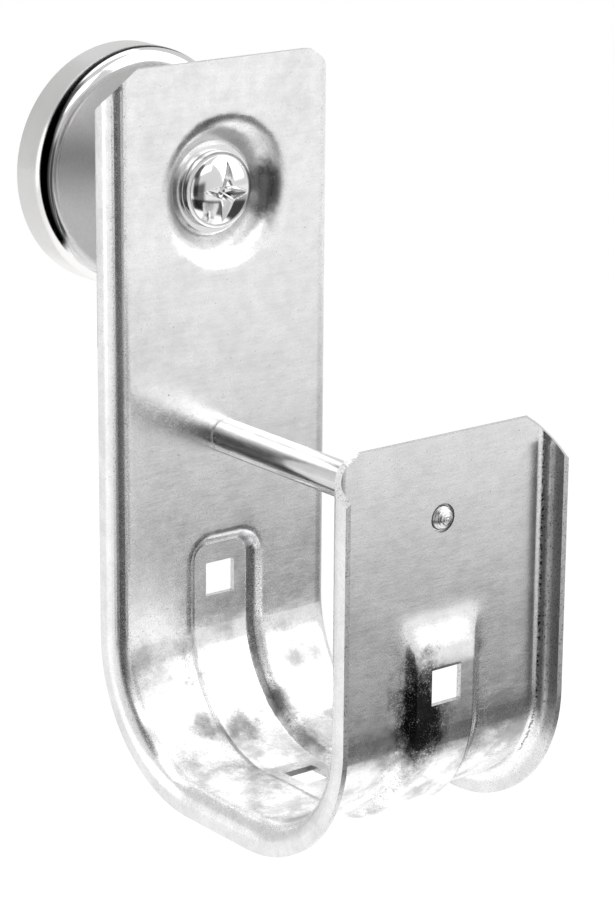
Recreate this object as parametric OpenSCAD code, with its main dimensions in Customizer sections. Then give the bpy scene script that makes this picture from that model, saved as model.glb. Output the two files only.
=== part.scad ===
// Magnet-mounted J hook for cable bundles, in millimetres.
// The origin is the centre of the magnet's working face. +Y points out of that face, into the
// surface that the hook hangs on, +Z is up and X runs along the cables.

/* [Sheet strap] */
// Clear width of the cradle, between the two legs
cradle_w = 50.8; // [42:0.1:60]
// Height of the long leg above the cradle floor
long_leg_h = 106; // [98:0.5:125]
// Height of the short leg above the cradle floor
short_leg_h = 59.8; // [56:0.1:68]
// Width of the strap over its side flanges
strap_w = 41.2; // [36:0.1:48]
// Thickness of the sheet
sheet_t = 0.9; // [0.7:0.05:1.2]
// Inner radius of the two lower corners
corner_r = 18; // [14:0.5:19]
// Depth of the side flanges over the sheet
flange_d = 4.5; // [4:0.1:6]
// Outer radius of the flange bends
flange_bend_r = 3; // [2:0.1:3.4]
// Corner cut of a leg: width along its top edge
cut_w = 4.4; // [3.6:0.1:6]
// Corner cut of a leg: drop at the free edge of the flange
cut_h = 6.1; // [4:0.1:8]

/* [Pressed channel] */
// Width of the channel at its mouth
channel_w = 15.4; // [14.8:0.1:16.4]
// Depth of the channel
channel_d = 1.5; // [1.2:0.05:2]
// Slope of the channel's walls from the sheet, in degrees
channel_slope = 45; // [42:1:50]
// Bend radius at the channel's mouth, on the cradle's side
channel_lip_r = 3; // [2.6:0.05:3.2]
// Bend radius along the channel's floor, on the cradle's side
channel_floor_r = 0.2; // [0.1:0.05:0.5]
// Radius of the rounded channel ends at the mouth
channel_end_r = 5; // [4.8:0.1:6]
// Top of the channel on the long leg, above the cradle floor
channel_long_top = 32.7; // [32:0.1:36]
// Top of the channel on the short leg, above the cradle floor
channel_short_top = 33.6; // [33.4:0.1:36]
// Slope of the run-out at the short leg's channel top, in degrees
runout_slope = 16; // [15:1:20]
// Bend radius at the run-out's top, on the cradle's side
runout_lip_r = 6; // [4:0.5:8]
// Bend radius at the run-out's foot, on the cradle's side
runout_floor_r = 3.5; // [2:0.5:5]

/* [Tie slots] */
// Side of the square tie slots
slot_w = 5.4; // [4.6:0.1:6]
// Centre of the slot in the long leg, above the cradle floor
slot_long_h = 24.2; // [23:0.1:25]
// Centre of the slot in the short leg, above the cradle floor
slot_short_h = 22.8; // [22:0.1:25]
// Distance of the floor slot's centre from the long leg
slot_floor_y = 21.4; // [21.2:0.1:24]

/* [Screw dish] */
// Screw axis below the top of the long leg
dish_drop = 20.2; // [18.5:0.1:24]
// Depth of the dish
dish_d = 3.8; // [3:0.1:4.2]
// Slope of the dish wall from the sheet, in degrees
dish_slope = 50; // [46:1:54]
// Bend radius at the dish's mouth, on the screw head's side
dish_lip_r = 4.5; // [3.6:0.1:5]
// Bend radius around the dish's floor, on the screw head's side
dish_floor_bend_r = 0.5; // [0.4:0.1:0.8]
// Flat ring between the washer and the dish wall
dish_flat = 0.3; // [0.2:0.05:0.5]

/* [Retainer pin] */
// Diameter of the pin
pin_d = 5.5; // [5:0.1:6.5]
// Pin axis above the cradle floor
pin_h = 47.6; // [44:0.1:50]
// Diameter of the pin's nose, in the short leg
pin_nose_d = 3.8; // [3:0.1:4.2]
// Reach of the nose beyond the short leg
pin_nose_reach = 1.1; // [0.9:0.1:1.8]
// Play between the pin's shoulder and the short leg
pin_play = 0.25; // [0.1:0.05:0.3]
// Hole in the short leg, over the nose's diameter
pin_hole_play = 0.5; // [0.3:0.05:0.58]
// Diameter of the riveted tenon, in the long leg
pin_tenon_d = 4; // [3.4:0.1:4.4]
// Diameter of the riveted head
pin_head_d = 6.6; // [6:0.1:8]
// Height of the riveted head
pin_head_h = 1.2; // [0.9:0.1:1.6]

/* [Screw and washer] */
// Diameter of the screw
screw_d = 6.3; // [5.8:0.05:6.4]
// Length of the screw below its head
screw_l = 12.7; // [10:0.1:15]
// Diameter of the pan head
screw_head_d = 11.8; // [11.2:0.1:12.6]
// Height of the pan head
screw_head_h = 3.7; // [3.4:0.1:4.2]
// Height of the head's straight side
screw_head_side = 1.3; // [1:0.1:1.6]
// Length of the driver slot
slot_l = 8.8; // [7:0.1:10]
// Span of the recess arms across the slot
recess_span = 6.4; // [5:0.1:7.5]
// Width of the slot and of the arms
recess_w = 1.3; // [1:0.1:1.6]
// Depth of the driver slot
slot_d = 1.4; // [1:0.1:1.8]
// Depth of the recess arms
recess_d = 2.1; // [1.9:0.1:2.4]
// Diameter of the washer
washer_d = 13.5; // [12.8:0.1:14]
// Thickness of the washer
washer_t = 0.9; // [0.7:0.05:1.2]
// Holes for the screw, over its diameter
screw_hole_play = 0.4; // [0.2:0.05:0.6]

/* [Pot magnet] */
// Diameter of the magnet's cup
magnet_d = 38.1; // [34:0.1:42]
// Height of the cup
magnet_h = 7.5; // [6.5:0.1:9]
// Wall of the cup
cup_t = 1.5; // [1:0.1:2]
// Outer radius between the cup's closed face and its wall
cup_edge_r = 2.6; // [2.1:0.1:3.2]
// Width of the centring ring around the magnet disc
ring_w = 1.8; // [1.2:0.1:2.4]
// Recess of the centring ring below the working face
ring_recess = 0.5; // [0.3:0.1:1]
// Length of the bushing between the dish and the cup
bushing_l = 15.9; // [12:0.1:20]
// Diameter of the bushing
bushing_d = 12; // [10.5:0.1:13]
// Diameter of the bushing's tenon in the cup
bushing_tenon_d = 9; // [8:0.1:10]
// Chamfer of the bushing
bushing_chamfer = 0.6; // [0.3:0.1:1]
// Thread of the bushing, over the screw's diameter
thread_play = 0.1; // [0.06:0.02:0.2]

/* [Hidden] */
$fn = 96;
past = 1;                                            // how far a cutter runs past a face
lap = 0.01;                                          // how far a wall runs into its bend
half_w = strap_w / 2;
// the strap's own frame has the long leg's inner face at y = 0 and the cradle floor at z = 0
strap_y = -(magnet_h + bushing_l + sheet_t + dish_d);
strap_z = dish_drop - long_leg_h;
screw_z = long_leg_h - dish_drop;                    // the screw's axis in the strap's frame
channel_long_end = channel_long_top - channel_end_r; // where the channel's walls begin to turn
runout_l = wall_run(channel_d, runout_slope, runout_lip_r, runout_floor_r);
channel_short_end = channel_short_top - runout_l;    // where the channel's floor begins to run out
dish_r = washer_d / 2 + dish_flat + wall_run(dish_d, dish_slope, dish_lip_r, dish_floor_bend_r);
washer_y = strap_y + dish_d - washer_t;              // the washer's front face
cup_floor_y = -magnet_h + cup_t;                     // the cup's inner floor
cup_bore_d = magnet_d - 2 * cup_t;
disc_d = cup_bore_d - 2 * ring_w;

steel = "#c9ccce";
plated = "#b5b8ba";
ferrite = "#3c3d40";
polymer = "#55585c";

// Run of a wall that falls by depth: a bend, a straight and the opposite bend
function wall_run(depth, slope, lip_r, floor_r) =
    (lip_r + floor_r) * sin(slope)
    + (depth - (lip_r + floor_r) * (1 - cos(slope))) / tan(slope);

// ---- The sheet's sections: X across the strap, Y outwards from the cradle ----

// Outline of a U with rounded lower corners
module tub(w, h, r) {
    translate([-w / 2, r]) square([w, h - r]);
    translate([r - w / 2, 0]) square([w - 2 * r, h]);
    both_sides() translate([w / 2 - r, r]) intersection() {
        circle(r);
        translate([0, -r]) square(r);
    }
}

// The flanged strap without its channel
module flanged_section() {
    difference() {
        tub(strap_w, flange_d, flange_bend_r);
        translate([0, sheet_t])
            tub(strap_w - 2 * sheet_t, flange_d, flange_bend_r - sheet_t);
    }
}

// Half of a pressed trough: a mouth edge rounded with lip_r at x = mouth, a sloping wall and a
// floor edge rounded with floor_r. It starts at y = -below and is depth deep.
module trough_half(mouth, depth, slope, lip_r, floor_r, below) {
    floor_c = [mouth - wall_run(depth, slope, lip_r, floor_r), depth - floor_r];
    lip_end = [mouth - lip_r * sin(slope), lip_r * (1 - cos(slope))];
    floor_start = floor_c + (floor_r - lap) * [sin(slope), cos(slope)];
    difference() {
        union() {
            polygon([[0, -below], [mouth, -below], [mouth, 0], lip_end,
                     floor_start, [floor_c[0], depth], [0, depth]]);
            translate(floor_c) circle(floor_r);
        }
        translate([mouth, lip_r]) circle(lip_r);
    }
}

// The bulge that the sheet makes outside a trough with these bends
module bulge_half(mouth, depth, slope, lip_r, floor_r) {
    translate([0, sheet_t])
        trough_half(mouth, depth, slope, lip_r - sheet_t, floor_r + sheet_t, sheet_t / 2);
}

module channel_hollow_half(mouth) {
    trough_half(mouth, channel_d, channel_slope, channel_lip_r, channel_floor_r, past);
}

module channel_bulge_half(mouth) {
    bulge_half(mouth, channel_d, channel_slope, channel_lip_r, channel_floor_r);
}

module both_sides() {
    children();
    mirror([1, 0]) children();
}

// The flanged strap with its channel
module channel_section() {
    difference() {
        union() {
            flanged_section();
            both_sides() channel_bulge_half(channel_w / 2);
        }
        both_sides() channel_hollow_half(channel_w / 2);
    }
}

// ---- The strap's stretches, in its own frame ----

// Rounded end of the channel: the half section turns round two corners and runs between them.
// Its lower edge lies at z = 0.
module channel_end() {
    end_x = channel_w / 2 - channel_end_r;
    rotate([-90, 0, 0]) {
        translate([end_x, 0, 0]) rotate([0, 0, -90]) rotate_extrude(angle = 90) children();
        translate([-end_x, 0, 0]) rotate([0, 0, 180]) rotate_extrude(angle = 90) children();
    }
    translate([end_x, 0, 0]) rotate([0, -90, 0]) linear_extrude(2 * end_x) children();
}

// Upright stretch from z = bottom to z = top
module upright(bottom, top) {
    translate([0, 0, bottom]) linear_extrude(top - bottom) children();
}

// Quarter turn from the long leg to the floor
module lower_corner() {
    translate([0, -corner_r, corner_r]) rotate([90, 0, 90]) rotate([0, 0, -90])
        rotate_extrude(angle = 90) translate([corner_r, 0]) rotate(-90) children();
}

// What is placed on the long leg, turned round to the short one
module on_short_leg() {
    translate([0, -cradle_w, 0]) mirror([0, 1, 0]) children();
}

// Run-out of the channel: its side walls go on, and its floor rises to the sheet in a long ramp.
// The first child is the channel's section and the second the ramp's, both with depth along Y.
module channel_runout() {
    intersection() {
        linear_extrude(runout_l) children(0);
        translate([channel_w / 2, 0, 0]) rotate([0, -90, 0])
            linear_extrude(channel_w) children(1);
    }
}

// Long leg above its plain channel stretch, with the channel's rounded end pressed in
module long_leg_top() {
    difference() {
        union() {
            upright(channel_long_end, long_leg_h) flanged_section();
            translate([0, 0, channel_long_end]) channel_end() channel_bulge_half(channel_end_r);
        }
        translate([0, 0, channel_long_end]) channel_end() channel_hollow_half(channel_end_r);
    }
}

// Short leg above its plain channel stretch, with the channel's run-out pressed in
module short_leg_top() {
    difference() {
        union() {
            upright(channel_short_end, short_leg_h) flanged_section();
            translate([0, 0, channel_short_end]) channel_runout() {
                both_sides() channel_bulge_half(channel_w / 2);
                bulge_half(runout_l, channel_d, runout_slope, runout_lip_r, runout_floor_r);
            }
        }
        translate([0, 0, channel_short_end]) channel_runout() {
            both_sides() channel_hollow_half(channel_w / 2);
            trough_half(runout_l, channel_d, runout_slope, runout_lip_r, runout_floor_r, past);
        }
    }
}

// Leg with its plain channel stretch up to channel_stop, and what the child puts above that
module leg(channel_stop, top) {
    upright(corner_r, channel_stop) channel_section();
    difference() {
        children();
        corner_cuts(top);
    }
}

// The blank's corners are cut in a straight line before its flanges are bent, so on the folded
// strap the cut falls along the face, round the bend and along the flange. A flat cutter that
// faces the middle of the bend follows that line.
module corner_cuts(top) {
    span = (cut_w + flange_d) * cos(45);             // the cut's length along the cutter
    fall = cut_h / span;
    for (side = [0, 1]) mirror([side, 0, 0])
        translate([half_w - cut_w, 0, top]) rotate([0, 0, 45]) rotate([90, 0, 0])
            linear_extrude(2 * span, center = true)
                polygon([[-past / fall, past], [span + past, past],
                         [span + past, -(span + past) * fall]]);
}

// Square tie slot through the channel's floor, centred on the Y axis
module tie_slot() {
    translate([-slot_w / 2, 0, -slot_w / 2])
        cube([slot_w, channel_d + sheet_t + past, slot_w]);
}

module drill(d, depth) {
    translate([0, depth, 0]) rotate([90, 0, 0]) cylinder(d = d, h = depth + past);
}

// Shape turned about the Y axis from a half section: X is the radius and Y stays Y
module turned() {
    rotate([-90, 0, 0]) rotate_extrude() children();
}

// ---- The pieces ----

// One folded strip of galvanised sheet
module hook_strap() {
    color(steel) translate([0, strap_y, strap_z]) difference() {
        union() {
            leg(channel_long_end, long_leg_h) long_leg_top();
            translate([0, 0, screw_z]) turned()
                bulge_half(dish_r, dish_d, dish_slope, dish_lip_r, dish_floor_bend_r);
            lower_corner() channel_section();
            translate([0, corner_r - cradle_w, 0]) rotate([-90, 0, 0])
                linear_extrude(cradle_w - 2 * corner_r) channel_section();
            on_short_leg() {
                lower_corner() channel_section();
                leg(channel_short_end, short_leg_h) short_leg_top();
            }
        }
        translate([0, 0, screw_z]) {
            turned() trough_half(dish_r, dish_d, dish_slope, dish_lip_r, dish_floor_bend_r, past);
            drill(screw_d + screw_hole_play, dish_d + sheet_t + past);
        }
        translate([0, 0, slot_long_h]) tie_slot();
        on_short_leg() translate([0, 0, slot_short_h]) tie_slot();
        translate([0, -slot_floor_y, 0]) rotate([-90, 0, 0]) tie_slot();
        translate([0, 0, pin_h]) drill(pin_tenon_d, sheet_t + past);
        on_short_leg() translate([0, 0, pin_h]) drill(pin_nose_d + pin_hole_play, sheet_t + past);
    }
}

// Pin across the mouth, riveted to the long leg, with its nose in the short leg's hole
module retainer_pin() {
    shoulder_l = cradle_w - pin_play;
    nose_l = pin_play + sheet_t + pin_nose_reach;
    dome_r = pin_nose_d / 2;
    color(plated) translate([0, strap_y, strap_z + pin_h]) {
        turned() {
            translate([0, -shoulder_l]) square([pin_d / 2, shoulder_l]);
            square([pin_tenon_d / 2, sheet_t]);
            // riveted head behind the leg
            translate([0, sheet_t]) intersection() {
                square([pin_head_d / 2, pin_head_h]);
                head_sphere_r = (pow(pin_head_d / 2, 2) + pow(pin_head_h, 2)) / (2 * pin_head_h);
                translate([0, pin_head_h - head_sphere_r]) circle(head_sphere_r);
            }
            // domed nose
            translate([0, -shoulder_l - nose_l + dome_r]) square([pin_nose_d / 2, nose_l - dome_r]);
            translate([0, -shoulder_l - nose_l + dome_r]) intersection() {
                circle(dome_r);
                translate([0, -dome_r]) square([dome_r, dome_r]);
            }
        }
    }
}

// Pan head screw, with its head in front of the washer
module mount_screw() {
    dome_h = screw_head_h - screw_head_side;
    dome_r = (pow(screw_head_d / 2, 2) + pow(dome_h, 2)) / (2 * dome_h);
    color(plated) translate([0, washer_y, 0]) difference() {
        turned() {
            square([screw_d / 2, screw_l]);
            translate([0, -screw_head_side]) square([screw_head_d / 2, screw_head_side]);
            translate([0, -screw_head_h]) intersection() {
                square([screw_head_d / 2, dome_h]);
                translate([0, dome_r]) circle(dome_r);
            }
        }
        driver_cut(recess_span, recess_w, recess_d);
        driver_cut(recess_w, slot_l, slot_d);
        driver_cut(recess_w, recess_span, recess_d);
    }
}

// Bar cut into the top of the screw's head, w by h and centred on it
module driver_cut(w, h, depth) {
    translate([-w / 2, -screw_head_h - past, -h / 2]) cube([w, depth + past, h]);
}

// Plain washer in the dish
module plain_washer() {
    color(plated) translate([0, washer_y, 0]) turned()
        translate([(screw_d + screw_hole_play) / 2, 0])
            square([(washer_d - screw_d - screw_hole_play) / 2, washer_t]);
}

// Threaded bushing that holds the magnet off the strap, with its tenon staked into the cup
module magnet_bushing() {
    bore = (screw_d + thread_play) / 2;
    r = bushing_d / 2;
    color(plated) translate([0, -magnet_h, 0]) turned() {
        polygon([[bore, -bushing_l], [r - bushing_chamfer, -bushing_l],
                 [r, bushing_chamfer - bushing_l], [r, 0], [bushing_tenon_d / 2, 0],
                 [bushing_tenon_d / 2, cup_t], [bore, cup_t]]);
    }
}

// Pressed steel cup, with its closed face towards the strap
module magnet_cup() {
    color(plated) turned() difference() {
        union() {
            translate([0, cup_edge_r - magnet_h]) square([magnet_d / 2, magnet_h - cup_edge_r]);
            translate([0, -magnet_h]) square([magnet_d / 2 - cup_edge_r, magnet_h]);
            translate([magnet_d / 2 - cup_edge_r, cup_edge_r - magnet_h]) intersection() {
                circle(cup_edge_r);
                translate([0, -cup_edge_r]) square(cup_edge_r);
            }
        }
        translate([0, cup_floor_y]) square([cup_bore_d / 2, magnet_h]);
        translate([0, -magnet_h - past]) square([bushing_tenon_d / 2, cup_t + 2 * past]);
    }
}

// Ring that centres the disc in the cup
module centring_ring() {
    color(polymer) turned() translate([disc_d / 2, cup_floor_y])
        square([ring_w, magnet_h - cup_t - ring_recess]);
}

// Ferrite disc, flush with the cup's rim
module magnet_disc() {
    color(ferrite) turned() translate([0, cup_floor_y])
        square([disc_d / 2, magnet_h - cup_t]);
}

hook_strap();
retainer_pin();
mount_screw();
plain_washer();
magnet_bushing();
magnet_cup();
centring_ring();
magnet_disc();
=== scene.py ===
from math import cos, pi, radians, sin, tan

import bpy
from mathutils import Matrix, Vector


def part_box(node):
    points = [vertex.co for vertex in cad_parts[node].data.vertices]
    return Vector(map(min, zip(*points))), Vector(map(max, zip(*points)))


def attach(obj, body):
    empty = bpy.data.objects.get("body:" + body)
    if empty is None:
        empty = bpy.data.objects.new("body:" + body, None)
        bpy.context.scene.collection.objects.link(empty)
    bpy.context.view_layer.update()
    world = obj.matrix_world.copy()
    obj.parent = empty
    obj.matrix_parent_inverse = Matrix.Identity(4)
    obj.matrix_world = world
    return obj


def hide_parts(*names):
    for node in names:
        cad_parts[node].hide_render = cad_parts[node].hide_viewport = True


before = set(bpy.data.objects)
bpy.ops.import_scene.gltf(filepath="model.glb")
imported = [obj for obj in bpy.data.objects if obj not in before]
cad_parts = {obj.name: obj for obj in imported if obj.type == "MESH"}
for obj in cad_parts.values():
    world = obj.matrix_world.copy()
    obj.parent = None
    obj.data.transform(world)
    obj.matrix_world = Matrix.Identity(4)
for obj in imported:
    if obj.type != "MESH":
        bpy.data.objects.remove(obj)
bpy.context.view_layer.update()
mm = 0.001


class Wire:
    # a shader socket that can be used in Python maths
    def __init__(self, graph, socket):
        self.graph = graph
        self.socket = socket

    def pick(self, name):
        return Wire(self.graph, self.socket.node.outputs[name])

    def maths(self, operation, *values):
        return self.graph.add("ShaderNodeMath", {"operation": operation}, dict(enumerate(values)))

    def __add__(self, other):
        return self.maths("ADD", self, other)

    def __radd__(self, other):
        return self.maths("ADD", other, self)

    def __sub__(self, other):
        return self.maths("SUBTRACT", self, other)

    def __rsub__(self, other):
        return self.maths("SUBTRACT", other, self)

    def __mul__(self, other):
        return self.maths("MULTIPLY", self, other)

    def __rmul__(self, other):
        return self.maths("MULTIPLY", other, self)

    def __truediv__(self, other):
        return self.maths("DIVIDE", self, other)

    def __pow__(self, other):
        return self.maths("POWER", self, other)

    def size(self):
        return self.maths("ABSOLUTE", self)

    def sine(self):
        return self.maths("SINE", self)

    def clamped(self):
        return self.maths("MINIMUM", self.maths("MAXIMUM", self, 0.0), 1.0)

    def over(self, low, high):
        # 0 under low, 1 over high and smooth between them
        ramp = {"interpolation_type": "SMOOTHSTEP"}
        return self.graph.add("ShaderNodeMapRange", ramp, {0: self, 1: low, 2: high})

    def under(self, low, high):
        # 1 under low, 0 over high and smooth between them
        return 1.0 - self.over(low, high)

    def between(self, start, full, fading, end):
        # 0 up to start, 1 from full to fading, and 0 again past end
        return self.over(start, full) * self.under(fading, end)


class Graph:
    # the node tree of a material or of the world
    def __init__(self, owner):
        owner.use_nodes = True
        self.tree = owner.node_tree
        self.tree.nodes.clear()

    def add(self, kind, settings=None, sockets=None):
        node = self.tree.nodes.new(kind)
        for name, value in (settings or {}).items():
            setattr(node, name, value)
        for name, value in (sockets or {}).items():
            if isinstance(value, Wire):
                self.tree.links.new(value.socket, node.inputs[name])
            else:
                node.inputs[name].default_value = value
        return Wire(self, node.outputs[0]) if node.outputs else None

    def place(self):
        # the point on the object, in millimetres
        point = self.add("ShaderNodeTexCoord").pick("Object")
        return self.add("ShaderNodeVectorMath", {"operation": "SCALE"}, {0: point, "Scale": 1 / mm})

    def stretched(self, place, scale):
        return self.add("ShaderNodeVectorMath", {"operation": "MULTIPLY"}, {0: place, 1: scale})

    def axes(self, place):
        parts = self.add("ShaderNodeSeparateXYZ", None, {0: place})
        return parts, parts.pick("Y"), parts.pick("Z")

    def noise(self, place, size, detail, rough):
        # from 0 to 1; size is the width of a feature in millimetres
        return self.add("ShaderNodeTexNoise", None,
                        {"Vector": place, "Scale": 1 / size, "Detail": detail, "Roughness": rough})

    def swing(self, place, size, detail, rough):
        # the same noise, about zero
        return self.noise(place, size, detail, rough) - 0.5

    def grey(self, value, tint=(1.0, 1.0, 1.0)):
        wires = [value * part for part in tint]
        return self.add("ShaderNodeCombineColor", None, dict(enumerate(wires)))

    def bump(self, height, depth, under=None):
        # depth is in millimetres, and under is a bump that this one lies on
        sockets = {"Height": height, "Distance": depth * mm}
        if under:
            sockets["Normal"] = under
        return self.add("ShaderNodeBump", None, sockets)

    def surface(self, shade, rough, normal, tint=(1.0, 1.0, 1.0), metallic=1.0):
        shader = self.add("ShaderNodeBsdfPrincipled", None, {
            "Base Color": self.grey(shade, tint), "Metallic": metallic,
            "Roughness": rough.clamped(), "Normal": normal})
        self.add("ShaderNodeOutputMaterial", None, {"Surface": shader})

    def veiled(self, veil, color):
        # a cloth of this colour where the veil is 1, and clear where it is 0
        clear = self.add("ShaderNodeBsdfTransparent")
        cloth = self.add("ShaderNodeEmission", None, {"Color": color, "Strength": 1.0})
        mixed = self.add("ShaderNodeMixShader", None, {0: veil, 1: clear, 2: cloth})
        self.add("ShaderNodeOutputMaterial", None, {"Surface": mixed})


def newMaterial(name):
    material = bpy.data.materials.new(name)
    return material, Graph(material)


def addedUp(look, layers):
    # shade, roughness and relief: each layer adds its three shares to them
    totals = [look["shade"], look["roughness"], 0.0]
    for name, shares in look["shares"].items():
        for i, share in enumerate(shares):
            if share:
                totals[i] = layers[name] * share + totals[i]
    return totals


camera = {
    "place": (-286.66, -413.99, 103.35),  # mm, in the part's frame
    "azimuth": -38.1,                     # degrees, 0 looks along +Y
    "elevation": 16.66,
    "roll": 0.44,
    "lens": 130.2,                        # mm
    "sensor": 36.0,                       # mm, the picture's long side
    "clip": (0.01, 50.0),                 # metres
}


def addCamera():
    data = bpy.data.cameras.new("camera")
    data.lens = camera["lens"]
    data.sensor_width = camera["sensor"]
    data.clip_start, data.clip_end = camera["clip"]
    eye = bpy.data.objects.new("camera", data)
    bpy.context.scene.collection.objects.link(eye)
    eye.matrix_world = (Matrix.Translation(Vector(camera["place"]) * mm)
                        @ Matrix.Rotation(radians(camera["azimuth"]), 4, "Z")
                        @ Matrix.Rotation(radians(90 - camera["elevation"]), 4, "X")
                        @ Matrix.Rotation(radians(camera["roll"]), 4, "Z"))
    bpy.context.scene.camera = eye


studio = {
    "centre": (0.0, -0.042, -0.035),      # metres, the middle of the hook
    "floorHeight": -0.9,
    "floorSide": 14.0,
    "floorColor": 0.95,
    "floorGlow": 0.24,                    # added for the camera and for mirrors
    "sky": 1.0,
}
softboxes = {                             # azimuth, elevation, distance m, width m, height m, radiance
    "topBox": (100, 75, 1.1, 1.4, 1.1, 1.25),
    "keyBox": (-107, 44, 1.0, 0.6, 0.35, 1.6),
    "leftBox": (149, 8, 1.0, 0.4, 0.7, 1.12),
    "rightBox": (-38, 33, 1.1, 1.1, 1.3, 1.15),
}
apron = {                                 # the dark cloths round the set, seen only in reflections
    "radius": 0.75,                       # metres from the hook
    "segments": 96,
    "rings": 48,
    "sideFade": 6.0,                      # degrees
}
# each panel of the apron, in degrees: azimuth, half width, foot from clear to dark,
# top from dark to clear; and how dark it is
panels = {
    "skirt": (-82.0, 83.0, (-48.0, -40.0), (-21.0, -17.0), 0.88),
    "leftSkirt": (-155.0, 27.0, (-48.0, -40.0), (-18.0, -14.0), 0.18),
    "rightSkirt": (-10.0, 34.0, (-48.0, -40.0), (-16.0, -12.0), 0.55),
    "gap": (-125.0, 23.0, (-48.0, -40.0), (8.0, 20.0), 0.82),
    "highGap": (-139.0, 13.0, (-16.0, -9.0), (34.0, 44.0), 0.75),
    "backVeil": (106.0, 26.0, (-48.0, -40.0), (45.0, 60.0), 0.18),
}
wing = {                                  # a dark card, up on the left
    "azimuth": -153.0,
    "elevation": 51.0,
    "size": (14.0, 26.0),                 # degrees from its middle, from dark to clear
    "darkness": 0.85,
}


def facing(azimuth, elevation, distance):
    # a place round the hook, turned so that its own +Z looks at the hook
    a, e = radians(azimuth), radians(elevation)
    outward = Vector((cos(a) * cos(e), sin(a) * cos(e), sin(e)))
    turn = outward.to_track_quat("Z", "Y").to_matrix().to_4x4()
    return Matrix.Translation(Vector(studio["centre"]) + outward * distance) @ turn


def onlyInReflections(piece):
    piece.visible_camera = False
    piece.visible_diffuse = False
    piece.visible_shadow = False
    piece.visible_transmission = False
    piece.visible_volume_scatter = False


def slopeOf(angles):
    return [tan(radians(a)) for a in angles]


def apronCloth():
    material, graph = newMaterial("apronCloth")
    x, y, z = graph.axes(graph.add("ShaderNodeTexCoord").pick("Object"))
    level = (x * x + y * y) ** 0.5        # the distance along the floor
    slope = z / level                     # the tangent of the elevation
    seenThrough = 1.0
    for azimuth, halfWidth, foot, top, darkness in panels.values():
        middle = radians(azimuth)
        across = (x * cos(middle) + y * sin(middle)) / level
        wide = cos(radians(halfWidth + apron["sideFade"]))
        narrow = cos(radians(halfWidth - apron["sideFade"]))
        veil = slope.between(*slopeOf(foot), *slopeOf(top)) * across.over(wide, narrow)
        seenThrough = (1.0 - veil * darkness) * seenThrough
    a, e = radians(wing["azimuth"]), radians(wing["elevation"])
    towards = x * cos(a) * cos(e) + y * sin(a) * cos(e) + z * sin(e)
    near, far = [apron["radius"] * cos(radians(angle)) for angle in wing["size"]]
    card = towards.over(far, near) * wing["darkness"]
    graph.veiled(1.0 - seenThrough * (1.0 - card), (0.0, 0.0, 0.0, 1.0))
    return material


# a dark card round the left of the magnet, seen only in reflections, in mm and degrees
magnetCard = {
    "profile": [(20.0, -23.8), (30.0, -23.8), (42.0, -8.0), (42.0, 30.0)],  # radius from the axis, and y
    "turn": (-65, 160),                   # round the magnet's axis, from -X towards +Z
    "steps": 60,
    "lower": (0.295, -28.3),              # the dark band's edges along Y: slope with the turn, and offset
    "upper": (0.19, -1.5),
    "fade": (-2.0, 2.0),
    "ends": (-58.0, -48.0, 138.0, 155.0),  # round the axis, where the band fades in and out
    "greyInside": (30.0, 33.0),           # the card is grey inside this radius
    "grey": 0.09,
    "lineRadius": 27.2,                   # a light line on the grey
    "lineFade": (0.3, 0.8),
    "line": 0.3,
}


def turnedCard(name, profile, turn, steps):
    # a profile of (radius, y) points swept round the magnet's axis, from -X towards +Z
    start, end = turn
    bpy.ops.object.select_all(action="DESELECT")
    points = []
    faces = []
    for i in range(steps + 1):
        angle = radians(start + (end - start) * i / steps)
        for radius, y in profile:
            points.append((-radius * cos(angle) * mm, y * mm, radius * sin(angle) * mm))
    count = len(profile)
    for i in range(steps):
        for j in range(count - 1):
            k = i * count + j
            faces.append((k, k + 1, k + 1 + count, k + count))
    mesh = bpy.data.meshes.new(name)
    mesh.from_pydata(points, [], faces)
    card = bpy.data.objects.new(name, mesh)
    bpy.context.scene.collection.objects.link(card)
    onlyInReflections(card)
    return card


def addMagnetCard():
    card = magnetCard
    material, graph = newMaterial("magnetDark")
    x, y, z = graph.axes(graph.place())
    radius = (x * x + z * z) ** 0.5
    turn = graph.add("ShaderNodeMath", {"operation": "ARCTAN2"}, {0: z, 1: x * -1.0}) * (180 / pi)
    lower = turn * card["lower"][0] + card["lower"][1]
    upper = turn * card["upper"][0] + card["upper"][1]
    band = (y - lower).over(*card["fade"]) * (y - upper).under(*card["fade"])
    # it is clear from its back, and for what has already come through a clear sheet
    fromStrap = graph.add("ShaderNodeNewGeometry").pick("Backfacing")
    passed = graph.add("ShaderNodeLightPath").pick("Transparent Depth").clamped()
    veil = band * turn.between(*card["ends"]) * (1.0 - fromStrap) * (1.0 - passed)
    line = (radius - card["lineRadius"]).size().under(*card["lineFade"])
    grey = radius.under(*card["greyInside"]) * card["grey"] + line * card["line"]
    graph.veiled(veil, graph.grey(grey))
    turnedCard("magnetDark", card["profile"], card["turn"], card["steps"]).data.materials.append(material)


def floorMaterial():
    material, graph = newMaterial("studioFloor")
    shade = studio["floorColor"]
    paths = graph.add("ShaderNodeLightPath")
    paper = graph.add("ShaderNodeBsdfDiffuse", None, {"Color": (shade, shade, shade, 1.0)})
    seen = paths.pick("Is Camera Ray") + paths.pick("Is Glossy Ray") + paths.pick("Is Transmission Ray")
    glow = graph.add("ShaderNodeEmission", None, {"Strength": seen.clamped() * studio["floorGlow"]})
    both = graph.add("ShaderNodeAddShader", None, {0: paper, 1: glow})
    graph.add("ShaderNodeOutputMaterial", None, {"Surface": both})
    return material


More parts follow.
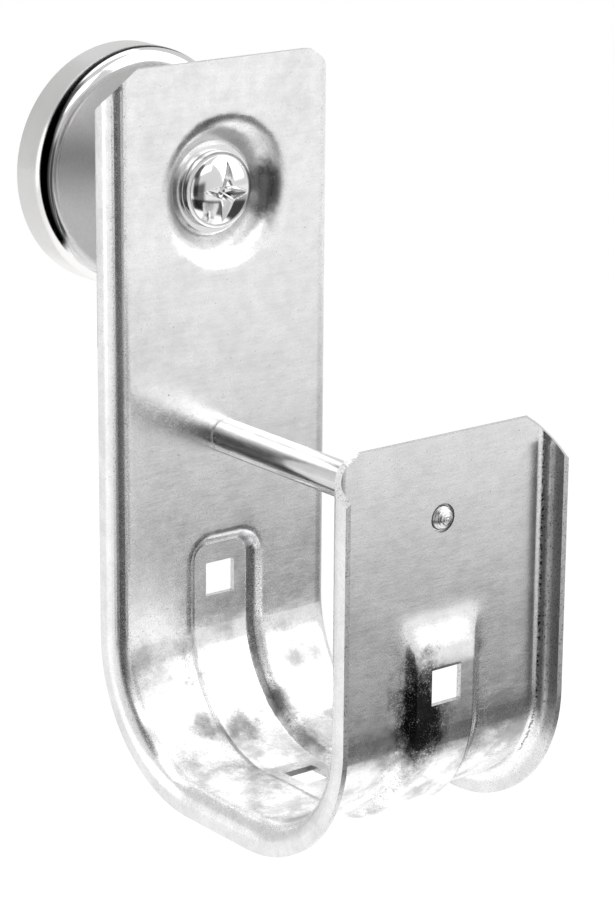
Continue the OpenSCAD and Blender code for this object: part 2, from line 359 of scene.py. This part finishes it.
def addStudio():
    scene = bpy.context.scene
    scene.view_settings.view_transform = "Standard"
    world = bpy.data.worlds.new("whiteStudio")
    scene.world = world
    graph = Graph(world)
    sky = graph.add("ShaderNodeBackground", None, {"Strength": studio["sky"]})
    graph.add("ShaderNodeOutputWorld", None, {"Surface": sky})

    bpy.ops.object.select_all(action="DESELECT")
    bpy.ops.mesh.primitive_plane_add(size=studio["floorSide"], location=(0, 0, studio["floorHeight"]))
    floor = bpy.context.active_object
    floor.name = "studioFloor"
    floor.data.materials.append(floorMaterial())

    for name, (azimuth, elevation, distance, width, height, radiance) in softboxes.items():
        lamp = bpy.data.lights.new(name, "AREA")
        lamp.shape = "RECTANGLE"
        lamp.size = width
        lamp.size_y = height
        lamp.energy = radiance * pi * width * height
        box = bpy.data.objects.new(name, lamp)
        scene.collection.objects.link(box)
        box.matrix_world = facing(azimuth, elevation, distance)

    bpy.ops.mesh.primitive_uv_sphere_add(segments=apron["segments"], ring_count=apron["rings"],
                                         radius=apron["radius"], location=studio["centre"])
    cloth = bpy.context.active_object
    cloth.name = "frontApron"
    cloth.data.materials.append(apronCloth())
    onlyInReflections(cloth)
    print("studio and camera are up")


# In the finishes below a pattern is its size in mm, its detail and its roughness. A pair of numbers is the
# stretch over which a mark comes or goes, and four are where it comes and where it goes. Each line of
# shares says how much that mark adds to the shade, to the roughness and to the relief.
zinc = {
    "shade": 0.87,
    "roughness": 0.25,
    "tint": (1.0, 1.0, 1.005),
    "shares": {
        "cloud": (0.26, 0.08, 0.0),
        "mottle": (0.32, 0.06, 1.5),
        "speck": (0.2, 0.1, 0.8),
        "streak": (0.12, 0.0, 0.8),
        "pits": (-0.22, 0.1, -0.6),
        "pressed": (-0.28, 0.15, -1.2),
        # painted crease shadow along the front bend, bumped too
        "creaseShadow": (-0.6, 0.1, -3.0),
        "foldPatch": (-0.36, 0.08, 0.0),
        # painted shade on the hollow side of the front bends
        "hollow": (-0.5, 0.1, 0.0),
        "dish": (0.0, 0.05, 0.0),
    },
    "cloud": (9.0, 3.0, 0.5),
    "mottle": (2.2, 4.0, 0.65),
    "speck": (0.35, 2.0, 0.7),
    "streak": (0.6, 3.0, 0.6),
    "streakStretch": (0.12, 1.0, 1.0),     # the streaks run along X
    "pits": (0.55, 2.0, 0.6),
    "pitsFrom": (0.66, 0.74),
    "fleck": (0.24, 2.0, 0.6),
    "fleckFrom": (0.56, 0.66),
    "wave": (6.0, 3.0, 0.55),              # the slow unevenness of the sheet
    "waveStretch": (0.6, 1.0, 1.0),
    "waveDepth": 0.03,                     # mm
    "waveInFold": 4.0,                     # how much stronger it is where the sheet is folded
    "reliefDepth": 0.006,                  # mm
}
marks = {                                  # what the dies left, and the painted shade on the hollow side of the front bends, in mm: across is from the middle line
    "bends": (17.4, 18.6, 19.9, 20.4),     # across, where the flanges are bent
    "bendShare": 0.6,
    "channel": (4.6, 6.2, 8.6, 10.2),      # across, the channel's walls
    "channelTop": (-56.0, -51.0),
    "dish": (10.5, 12.0),                  # from the screw's axis
    "dishFront": (-40.0, -34.0),           # along Y
    "dishShare": 0.8,
    "everywhere": 0.12,
    "foldTop": (-76.0, -56.0),             # the fold of the J lies under this
    "foldSide": (16.8, 18.8),
    "foldPatch": (6.5, 5.0, 0.65),             # grey patches in the fold
    "foldPatchFrom": (0.42, 0.66),
    "hollow": (17.6, 18.6, 19.75, 20.3),   # across, painted shade on the hollow side of the front bends, which is also rougher
    "hollowFoot": (-78.0, -72.0),
    "hollowFront": (-80.1, -79.85),
    "hollowEven": 0.6,
    "hollowMottle": 1.6,
    "hollowFleck": 0.5,
}
paintedCrease = {                                # a broken line along the front bend, in mm: a painted crease shadow, also bumped, with a painted highlight beside it
    "place": 18.7,                         # along X
    "wander": 0.35,
    "wanderPattern": (7.0, 4.0, 0.6),
    "width": (0.102, 0.238),
    "front": (-77.0, -76.0),               # along Y
    "broken": (0.55, 3.0, 0.7),
    "brokenFrom": (0.42, 0.6),
    "shine": 0.35,                         # painted highlight beside the line
    "shineAway": 0.5,
    "shineWidth": (0.14, 0.4),
    "shineLost": 0.7,                      # the painted highlight fades where the dark line shows
}
darkPatches = {                                 # darker patches, broken up at their borders; on the dish's and the channel's walls they are painted dark reflections
    "patches": [                           # mm: middle, reach along each axis; and darkness
        # painted dark reflection on the dish's right wall
        ((9.0, -27.0, -0.8), (3.3, 4.0, 4.7), 0.66),
        # painted dark reflection on the front channel's left wall
        ((-4.3, -80.8, -67.2), (4.3, 3.6, 9.0), 0.95),
        # darker patches in the cradle
        ((-9.4, -34.6, -81.7), (2.7, 2.6, 2.3), 0.6),
        ((-1.6, -34.4, -83.3), (3.3, 2.8, 2.4), 0.6),
        ((-13.4, -29.6, -74.8), (3.2, 2.0, 3.2), 0.22),
        ((11.9, -29.8, -75.4), (3.4, 2.0, 3.4), 0.26),
        # painted dark reflection on the channel's right wall in the cradle
        ((6.4, -34.0, -81.6), (1.3, 4.4, 3.4), 0.5),
        ((6.4, -41.0, -85.2), (1.3, 5.4, 2.6), 0.5),
    ],
    "border": (0.2, 1.2),                  # as parts of the reach
    "mottle": 1.5,                         # how far mottle and flecks break up the border
    "fleck": 0.45,
    "fleckLevel": 0.6,
    "dishRim": (10.2, 11.6),               # mm from the screw's axis: no patch outside this
    "unpatchedAbove": (-30.0, -24.0),          # where it is also above this
}


def paintedCreaseOn(graph, place, x, y):
    # the painted crease shadow as a broken dark line, and the painted highlight as a band beside it
    along = graph.swing(graph.stretched(place, (0.0, 0.0, 1.0)), *paintedCrease["wanderPattern"])
    broken = graph.noise(graph.stretched(place, (1.0, 0.0, 1.0)), *paintedCrease["broken"])
    lineShows = broken.over(*paintedCrease["brokenFrom"])
    front = y.under(*paintedCrease["front"])
    away = x - paintedCrease["place"] - along * paintedCrease["wander"]
    creaseShadow = away.size().under(*paintedCrease["width"]) * front * lineShows
    beside = (away + paintedCrease["shineAway"]).size().under(*paintedCrease["shineWidth"])
    return creaseShadow, beside * front * (1.0 - lineShows * paintedCrease["shineLost"])


def darkPatchesOn(x, y, z, mottle, fleck):
    breakUp = mottle * darkPatches["mottle"] + (fleck - darkPatches["fleckLevel"]) * darkPatches["fleck"]
    dark = 0.0
    for middle, reach, darkness in darkPatches["patches"]:
        parts = [((wire - place) / size) ** 2.0 for wire, place, size in zip((x, y, z), middle, reach)]
        away = (parts[0] + parts[1] + parts[2]) ** 0.5
        dark = (away + breakUp).under(*darkPatches["border"]) * darkness + dark
    unpatched = ((x * x + z * z) ** 0.5).over(*darkPatches["dishRim"]) * z.over(*darkPatches["unpatchedAbove"])
    return dark * (1.0 - unpatched)


def galvanisedSheet():
    material, graph = newMaterial("galvanisedSheet")
    place = graph.place()
    x, y, z = graph.axes(place)
    across = x.size()
    fromScrew = (x * x + z * z) ** 0.5
    mottle = graph.swing(place, *zinc["mottle"])
    fleck = graph.noise(place, *zinc["fleck"]).over(*zinc["fleckFrom"])
    folded = z.under(*marks["foldTop"]) * across.under(*marks["foldSide"])
    bends = across.between(*marks["bends"]) * marks["bendShare"]
    channel = across.between(*marks["channel"]) * z.under(*marks["channelTop"])
    dish = fromScrew.under(*marks["dish"]) * y.over(*marks["dishFront"])
    pressed = (bends + channel + dish * marks["dishShare"] + marks["everywhere"]).clamped() * fleck
    # painted shade on the hollow side of the front bends, mottled and flecked, and a little rougher
    hollow = across.between(*marks["hollow"]) * z.over(*marks["hollowFoot"])
    hollow = hollow * y.under(*marks["hollowFront"])
    hollowStrength = marks["hollowEven"] + mottle * marks["hollowMottle"] + fleck * marks["hollowFleck"]
    creaseShadow, creaseHighlight = paintedCreaseOn(graph, place, x, y)
    shade, rough, relief = addedUp(zinc, {
        "cloud": graph.swing(place, *zinc["cloud"]),
        "mottle": mottle,
        "speck": graph.swing(place, *zinc["speck"]),
        "streak": graph.swing(graph.stretched(place, zinc["streakStretch"]), *zinc["streak"]),
        "pits": graph.noise(place, *zinc["pits"]).over(*zinc["pitsFrom"]),
        "pressed": pressed,
        "creaseShadow": creaseShadow,
        "foldPatch": graph.noise(place, *marks["foldPatch"]).over(*marks["foldPatchFrom"]) * folded,
        "hollow": hollow * hollowStrength,
        "dish": dish,
    })
    # the dark patches darken the zinc, some of them as painted dark reflections, and the painted highlight
    # lightens it beside the crease
    shade = shade * (1.0 - darkPatchesOn(x, y, z, mottle, fleck)) + creaseHighlight * paintedCrease["shine"]
    wave = graph.noise(graph.stretched(place, zinc["waveStretch"]), *zinc["wave"])
    waved = graph.bump(wave * (1.0 + folded * zinc["waveInFold"]), zinc["waveDepth"])
    graph.surface(shade.clamped(), rough, graph.bump(relief, zinc["reliefDepth"], waved), zinc["tint"])
    return material


sheared = {
    "shade": 0.7,
    "roughness": 0.34,
    "shares": {
        "torn": (0.3, 0.3, 1.0),
        "patches": (0.2, 0.0, 0.0),
        "fleck": (-0.35, 0.0, 0.0),
    },
    "torn": (0.35, 3.0, 0.7),
    "patches": (3.0, 2.0, 0.5),
    "fleck": (0.25, 2.0, 0.6),
    "fleckFrom": (0.55, 0.65),
    "reliefDepth": 0.015,                  # mm
}


def shearedEdge():
    material, graph = newMaterial("shearedEdge")
    place = graph.place()
    shade, rough, relief = addedUp(sheared, {
        "torn": graph.swing(place, *sheared["torn"]),
        "patches": graph.swing(place, *sheared["patches"]),
        "fleck": graph.noise(place, *sheared["fleck"]).over(*sheared["fleckFrom"]),
    })
    graph.surface(shade, rough, graph.bump(relief, sheared["reliefDepth"]))
    return material


turned = {                                 # the tool leaves rings round the Y axis
    "finishes": {                          # shade, roughness, and in mm the rings' size and depth
        "screwPlate": (0.82, 0.1, 1.5, 0.002),
        "washerPlate": (0.76, 0.2, 0.6, 0.004),
        "bushingPlate": (0.76, 0.22, 0.5, 0.006),
    },
    "shares": {
        "rings": (0.08, 0.08, 1.0),
        "smudge": (0.06, 0.1, 0.0),
    },
    "ringStretch": (0.02, 1.0, 0.02),
    "ringDetail": (3.0, 0.7),
    "smudge": (4.0, 3.0, 0.5),
}


def turnedSteel(name):
    plainShade, plainRough, ringSize, ringDepth = turned["finishes"][name]
    look = {"shade": plainShade, "roughness": plainRough, "shares": turned["shares"]}
    material, graph = newMaterial(name)
    place = graph.place()
    along = graph.stretched(place, turned["ringStretch"])
    shade, rough, relief = addedUp(look, {
        "rings": graph.swing(along, ringSize, *turned["ringDetail"]),
        "smudge": graph.swing(place, *turned["smudge"]),
    })
    graph.surface(shade, rough, graph.bump(relief, ringDepth))
    return material


pin = {                                    # mm
    "axis": -38.2,                         # its height
    "rivet": [(0.4, -26.0), (1.4, -26.12), (2.3, -26.42), (2.9, -26.8), (3.25, -27.1), (3.28, -27.2)],
    "shoulder": [(2.0, -27.2), (2.0, -28.1), (2.5, -28.1), (2.5, -28.32), (2.62, -28.36), (2.75, -28.5),
                 (2.75, -78.4), (2.68, -78.58), (2.5, -78.65), (1.9, -78.65), (1.9, -79.0)],
    "noseRadius": 1.9,
    "noseFrom": -79.0,                     # along Y
    "noseTurn": 86.0,                      # degrees
    "noseRings": 9,
    "steps": 64,
    "smoothAngle": 30.0,                   # degrees
    "shade": 0.8,
    "roughness": 0.14,
    "shares": {
        "drawn": (0.1, 0.08, 0.3),
        "smudge": (0.1, 0.1, 0.0),
        "nose": (-0.08, 0.14, 0.0),
        "rings": (0.06, 0.0, 0.5),
    },
    "drawn": (0.35, 3.0, 0.6),
    "drawnStretch": (1.0, 0.04, 1.0),
    "smudge": (3.0, 3.0, 0.5),
    "noseMark": (-79.6, -79.2),
    "ringPitch": 0.42,
    "reliefDepth": 0.05,
}


def pinPlate():
    # the tool left rings on the pin's nose
    material, graph = newMaterial("pinPlate")
    place = graph.place()
    x, y, z = graph.axes(place)
    away = z - pin["axis"]
    radius = (x * x + away * away) ** 0.5
    nose = y.under(*pin["noseMark"])
    shade, rough, relief = addedUp(pin, {
        "drawn": graph.swing(graph.stretched(place, pin["drawnStretch"]), *pin["drawn"]),
        "smudge": graph.swing(place, *pin["smudge"]),
        "nose": nose,
        "rings": (radius * (2 * pi / pin["ringPitch"])).sine() * nose,
    })
    graph.surface(shade, rough, graph.bump(relief, pin["reliefDepth"]))
    return material


cup = {                                    # mm, from the magnet's axis and along Y
    "shade": 0.76,
    "roughness": 0.09,
    "tint": (1.0, 0.995, 0.985),
    "shares": {
        "face": (-0.14, 0.24, 0.5),        # the flat face is brushed
        "brushed": (0.16, 0.14, 1.0),
        "wall": (0.0, 0.16, 0.0),
        "cloud": (0.06, 0.03, 0.0),
    },
    "brushed": (0.4, 3.0, 0.6),
    "cloud": (7.0, 3.0, 0.5),
    "faceRim": (16.2, 17.2),
    "faceFront": (-7.4, -7.2),
    "wallFrom": (18.8, 18.95),
    "reliefDepth": 0.008,
}


def platedCup():
    material, graph = newMaterial("nickelPlate")
    place = graph.place()
    x, y, z = graph.axes(place)
    radius = (x * x + z * z) ** 0.5
    face = radius.under(*cup["faceRim"]) * y.under(*cup["faceFront"])
    shade, rough, relief = addedUp(cup, {
        "face": face,
        "brushed": graph.swing(place, *cup["brushed"]) * face,
        "wall": radius.over(*cup["wallFrom"]),
        "cloud": graph.swing(place, *cup["cloud"]),
    })
    graph.surface(shade, rough, graph.bump(relief, cup["reliefDepth"]), cup["tint"])
    return material


ferrite = {
    "shade": 0.075,
    "roughness": 0.5,
    "tint": (1.0, 1.0, 1.04),
    "shares": {
        "ground": (0.04, 0.3, 1.0),
        "pits": (-0.03, 0.0, -2.0),
    },
    "ground": (0.25, 3.0, 0.7),
    "groundStretch": (0.05, 1.0, 1.0),
    "pits": (1.1, 4.0, 0.7),
    "pitsFrom": (0.62, 0.7),
    "reliefDepth": 0.02,                   # mm
}


def ferriteFace():
    material, graph = newMaterial("groundFerrite")
    place = graph.place()
    shade, rough, relief = addedUp(ferrite, {
        "ground": graph.swing(graph.stretched(place, ferrite["groundStretch"]), *ferrite["ground"]),
        "pits": graph.noise(place, *ferrite["pits"]).over(*ferrite["pitsFrom"]),
    })
    graph.surface(shade, rough, graph.bump(relief, ferrite["reliefDepth"]), ferrite["tint"], metallic=0.0)
    return material


ring = {
    "shade": 0.1,
    "roughness": 0.45,
    "shares": {
        "skin": (0.03, 0.2, 1.0),
    },
    "skin": (0.3, 2.0, 0.5),
    "reliefDepth": 0.01,                   # mm
}


def ringPolymer():
    material, graph = newMaterial("ringPolymer")
    place = graph.place()
    shade, rough, relief = addedUp(ring, {"skin": graph.swing(place, *ring["skin"])})
    graph.surface(shade, rough, graph.bump(relief, ring["reliefDepth"]), metallic=0.0)
    return material


strap = {                                  # mm and degrees
    "mergeWithin": 0.001,
    "flatWithin": 0.5,
    "legFrom": -35.0,                      # along Y, the long leg's faces are above this
    "squareOn": 0.999,                     # how square to Y their normals are
    "edgeRound": 0.12,                     # the rounding of the sheared edges
    "edgeSegments": 2,
    "foldAngle": 40.0,                     # a sharper turn is a sheared edge
    "edgeAngle": 50.0,                     # and past this one it is rounded
    "cutStep": 3.0,                        # between the cuts that give the long faces their inner points
    "runOut": ((-10.4, -82.6, -60.4), (10.4, -78.0, -49.6)),  # two corners of a block round the run-out
    "runOutStep": 0.55,
    "runOutMargin": 0.6,
    "runOutFactor": 0.5,
    "runOutSmooth": 40,                    # how many times it is smoothed
}


def onlySelect(piece):
    bpy.ops.object.select_all(action="DESELECT")
    piece.select_set(True)
    bpy.context.view_layer.objects.active = piece


def copyOfNode(node, name):
    # one whole skin, made from the node's loose triangles
    piece = bpy.data.objects.new(name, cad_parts[node].data.copy())
    bpy.context.scene.collection.objects.link(piece)
    onlySelect(piece)
    piece.data.materials.clear()
    bpy.ops.object.mode_set(mode="EDIT")
    bpy.ops.mesh.select_all(action="SELECT")
    bpy.ops.mesh.customdata_custom_splitnormals_clear()
    bpy.ops.mesh.remove_doubles(threshold=strap["mergeWithin"] * mm)
    bpy.ops.mesh.dissolve_limited(angle_limit=radians(strap["flatWithin"]))
    bpy.ops.object.mode_set(mode="OBJECT")
    return piece


def cutAcross(axis, first, last, step):
    # cuts through everything that shows, square to one axis
    count = int(round((last - first) / step))
    for i in range(count + 1):
        place = [0.0, 0.0, 0.0]
        normal = [0.0, 0.0, 0.0]
        place[axis] = (first + (last - first) * i / count) * mm
        normal[axis] = 1.0
        bpy.ops.mesh.select_all(action="SELECT")
        bpy.ops.mesh.bisect(plane_co=place, plane_no=normal)


def inside(point, low, high, margin=0.0):
    return all(low[i] + margin < point[i] / mm < high[i] - margin for i in range(3))


def smoothRunOut(piece):
    # the corners where the pressed channel runs out at its top are drawn soft
    low, high = strap["runOut"]
    step = strap["runOutStep"]
    mesh = piece.data
    bpy.ops.object.mode_set(mode="EDIT")
    bpy.ops.mesh.select_mode(type="FACE")
    bpy.ops.mesh.select_all(action="DESELECT")
    bpy.ops.object.mode_set(mode="OBJECT")
    for face in mesh.polygons:
        face.select = inside(face.center, low, high)
    bpy.ops.object.mode_set(mode="EDIT")
    bpy.ops.mesh.hide(unselected=True)
    cutAcross(0, low[0] + step, high[0] - step, step)
    cutAcross(2, low[2] + step, high[2] - step, step)
    bpy.ops.mesh.select_mode(type="VERT")
    bpy.ops.mesh.select_all(action="DESELECT")
    bpy.ops.object.mode_set(mode="OBJECT")
    for point in mesh.vertices:
        point.select = not point.hide and inside(point.co, low, high, strap["runOutMargin"])
    bpy.ops.object.mode_set(mode="EDIT")
    bpy.ops.mesh.vertices_smooth(factor=strap["runOutFactor"], repeat=strap["runOutSmooth"])
    bpy.ops.mesh.reveal(select=False)
    bpy.ops.object.mode_set(mode="OBJECT")


def broadFace(mesh, facing):
    # the long leg's largest face that looks along Y in this direction
    legFrom = strap["legFrom"] * mm
    faces = [f for f in mesh.polygons if f.normal.y * facing > strap["squareOn"] and f.center.y > legFrom]
    return max(faces, key=lambda f: f.area)


def weightNormals(piece):
    keep = piece.modifiers.new("weightedNormals", "WEIGHTED_NORMAL")
    keep.keep_sharp = True
    bpy.ops.object.modifier_apply(modifier=keep.name)


def buildStrap(skin, edge):
    piece = copyOfNode("hook_strap", "hookStrap")
    mesh = piece.data
    mesh.materials.append(skin)
    mesh.materials.append(edge)
    low, high = [[value / mm for value in corner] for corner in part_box("hook_strap")]
    step = strap["cutStep"]
    bpy.ops.object.mode_set(mode="EDIT")
    for axis in range(3):
        cutAcross(axis, low[axis] + step, high[axis] - step, step)
    bpy.ops.object.mode_set(mode="OBJECT")
    smoothRunOut(piece)
    # all of it starts as sheared edge, and then the two broad sides get the zinc
    for face in mesh.polygons:
        face.material_index = 1
        face.select = False
    for edgeLine in mesh.edges:
        edgeLine.select = False
    for point in mesh.vertices:
        point.select = False
    bpy.ops.object.mode_set(mode="EDIT")
    bpy.ops.mesh.select_mode(type="FACE")
    bpy.ops.object.mode_set(mode="OBJECT")
    broadFace(mesh, -1).select = True
    broadFace(mesh, 1).select = True
    bpy.ops.object.mode_set(mode="EDIT")
    bpy.ops.mesh.faces_select_linked_flat(sharpness=radians(strap["foldAngle"]))
    piece.active_material_index = 0
    bpy.ops.object.material_slot_assign()
    bpy.ops.mesh.select_all(action="DESELECT")
    bpy.ops.mesh.select_mode(type="EDGE")
    bpy.ops.mesh.edges_select_sharp(sharpness=radians(strap["edgeAngle"]))
    bpy.ops.mesh.bevel(offset=strap["edgeRound"] * mm, segments=strap["edgeSegments"], affect="EDGES",
                       clamp_overlap=True, material=1)
    bpy.ops.object.mode_set(mode="OBJECT")
    bpy.ops.object.shade_smooth_by_angle(angle=radians(strap["foldAngle"]))
    weightNormals(piece)
    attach(piece, "root")
    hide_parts("hook_strap")
    print("strap:", len(mesh.polygons), "faces")


screw = {                                  # mm
    "profile": [(3.0, -12.6), (3.15, -12.9), (3.15, -25.2), (5.55, -25.2), (5.8, -25.28), (5.9, -25.45),
                (5.9, -26.1)],
    "domeFrom": -26.1,                     # along Y
    "domeTo": -28.9,
    "domeRadius": 5.9,
    "domeTurn": 88.0,                      # degrees
    "domeRings": 16,
    "steps": 96,
    "cutFrom": -28.95,                     # along Y, the recess is cut from just above the dome
    "turn": -6.0,                          # degrees, the way the screw stopped
    "arms": [(6.9, 1.5), (1.35, 5.1)],     # the two tapered cuts: half length along Z, half width along X
    "armCut": (2.1, 0.42, 4),              # depth, how much smaller it is at its floor, and its sides
    "pitRadius": 1.7,
    "pitCut": (2.9, 0.25, 24),
    "edgeAngle": 28.0,                     # degrees, a sharper turn is rounded
    "edgeRound": 0.07,
    "edgeSegments": 2,
    "smoothAngle": 30.0,
}


def turnedPiece(name, profile, steps):
    # rings of (radius, place along Y), each pulled out of the one before
    radius, y = profile[0]
    bpy.ops.object.select_all(action="DESELECT")
    bpy.ops.mesh.primitive_circle_add(vertices=steps, radius=radius * mm, fill_type="NGON",
                                      rotation=(pi / 2, 0, 0))
    piece = bpy.context.active_object
    piece.name = name
    bpy.ops.object.transform_apply(location=False, rotation=True, scale=False)
    bpy.ops.object.mode_set(mode="EDIT")
    bpy.ops.mesh.select_all(action="SELECT")
    bpy.ops.transform.translate(value=(0, y * mm, 0))
    for nextRadius, nextY in profile[1:]:
        bpy.ops.mesh.extrude_region_move(TRANSFORM_OT_translate={"value": (0, (nextY - y) * mm, 0)})
        change = nextRadius / radius
        bpy.ops.transform.resize(value=(change, 1, change), center_override=(0, nextY * mm, 0))
        radius, y = nextRadius, nextY
    bpy.ops.mesh.select_all(action="SELECT")
    bpy.ops.mesh.normals_make_consistent(inside=False)
    bpy.ops.object.mode_set(mode="OBJECT")
    return piece


def taperedCutter(halfLong, halfWide, depth, floor, corners, turn):
    # a cutter that narrows from just above the surface to its floor
    bpy.ops.object.select_all(action="DESELECT")
    bpy.ops.mesh.primitive_cone_add(vertices=corners, radius1=mm, radius2=floor * mm, depth=depth * mm,
                                    rotation=(-pi / 2, 0, 0))
    cutter = bpy.context.active_object
    bpy.ops.object.transform_apply(location=False, rotation=True, scale=False)
    bpy.ops.object.mode_set(mode="EDIT")
    bpy.ops.mesh.select_all(action="SELECT")
    bpy.ops.transform.resize(value=(halfWide, 1, halfLong), center_override=(0, 0, 0))
    bpy.ops.transform.rotate(value=radians(turn), orient_axis="Y", center_override=(0, 0, 0))
    bpy.ops.transform.translate(value=(0, (screw["cutFrom"] + depth / 2) * mm, 0))
    bpy.ops.object.mode_set(mode="OBJECT")
    return cutter


def cutWith(piece, cutter):
    onlySelect(piece)
    cut = piece.modifiers.new("cut", "BOOLEAN")
    cut.operation = "DIFFERENCE"
    cut.solver = "EXACT"
    cut.object = cutter
    bpy.ops.object.modifier_apply(modifier=cut.name)
    bpy.data.objects.remove(cutter)


def domeRings(radius, start, height, turn, rings):
    # the rings of a round end that points along -Y
    angles = [radians(turn * i / rings) for i in range(1, rings + 1)]
    return [(radius * cos(angle), start - height * sin(angle)) for angle in angles]


def buildPin(material):
    # a shouldered pin: a small relief where it meets the long leg, and a round nose
    radius = pin["noseRadius"]
    nose = domeRings(radius, pin["noseFrom"], radius, pin["noseTurn"], pin["noseRings"])
    piece = turnedPiece("retainerPin", pin["rivet"] + pin["shoulder"] + nose, pin["steps"])
    bpy.ops.object.mode_set(mode="EDIT")
    bpy.ops.mesh.select_all(action="SELECT")
    bpy.ops.transform.translate(value=(0, 0, pin["axis"] * mm))
    bpy.ops.object.mode_set(mode="OBJECT")
    bpy.ops.object.shade_smooth_by_angle(angle=radians(pin["smoothAngle"]))
    weightNormals(piece)
    piece.data.materials.append(material)
    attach(piece, "root")
    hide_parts("retainer_pin")
    print("pin:", len(piece.data.polygons), "faces")


def buildScrew(material):
    height = screw["domeFrom"] - screw["domeTo"]
    dome = domeRings(screw["domeRadius"], screw["domeFrom"], height,
                     screw["domeTurn"], screw["domeRings"])
    piece = turnedPiece("mountScrew", screw["profile"] + dome, screw["steps"])
    for halfLong, halfWide in screw["arms"]:
        cutWith(piece, taperedCutter(halfLong, halfWide, *screw["armCut"], screw["turn"]))
    cutWith(piece, taperedCutter(screw["pitRadius"], screw["pitRadius"], *screw["pitCut"], 0.0))
    bpy.ops.object.mode_set(mode="EDIT")
    bpy.ops.mesh.select_mode(type="EDGE")
    bpy.ops.mesh.select_all(action="DESELECT")
    bpy.ops.mesh.edges_select_sharp(sharpness=radians(screw["edgeAngle"]))
    bpy.ops.mesh.bevel(offset=screw["edgeRound"] * mm, segments=screw["edgeSegments"], affect="EDGES",
                       clamp_overlap=True)
    bpy.ops.object.mode_set(mode="OBJECT")
    bpy.ops.object.shade_smooth_by_angle(angle=radians(screw["smoothAngle"]))
    piece.data.materials.append(material)
    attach(piece, "root")
    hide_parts("mount_screw")
    print("screw:", len(piece.data.polygons), "faces")


def dress(node, material):
    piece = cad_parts[node]
    for slot in piece.material_slots:
        slot.material = material


addCamera()
addStudio()
addMagnetCard()
buildStrap(galvanisedSheet(), shearedEdge())
buildPin(pinPlate())
buildScrew(turnedSteel("screwPlate"))
dress("plain_washer", turnedSteel("washerPlate"))
dress("magnet_bushing", turnedSteel("bushingPlate"))
dress("magnet_cup", platedCup())
dress("centring_ring", ringPolymer())
dress("magnet_disc", ferriteFace())
print("finishes are on")
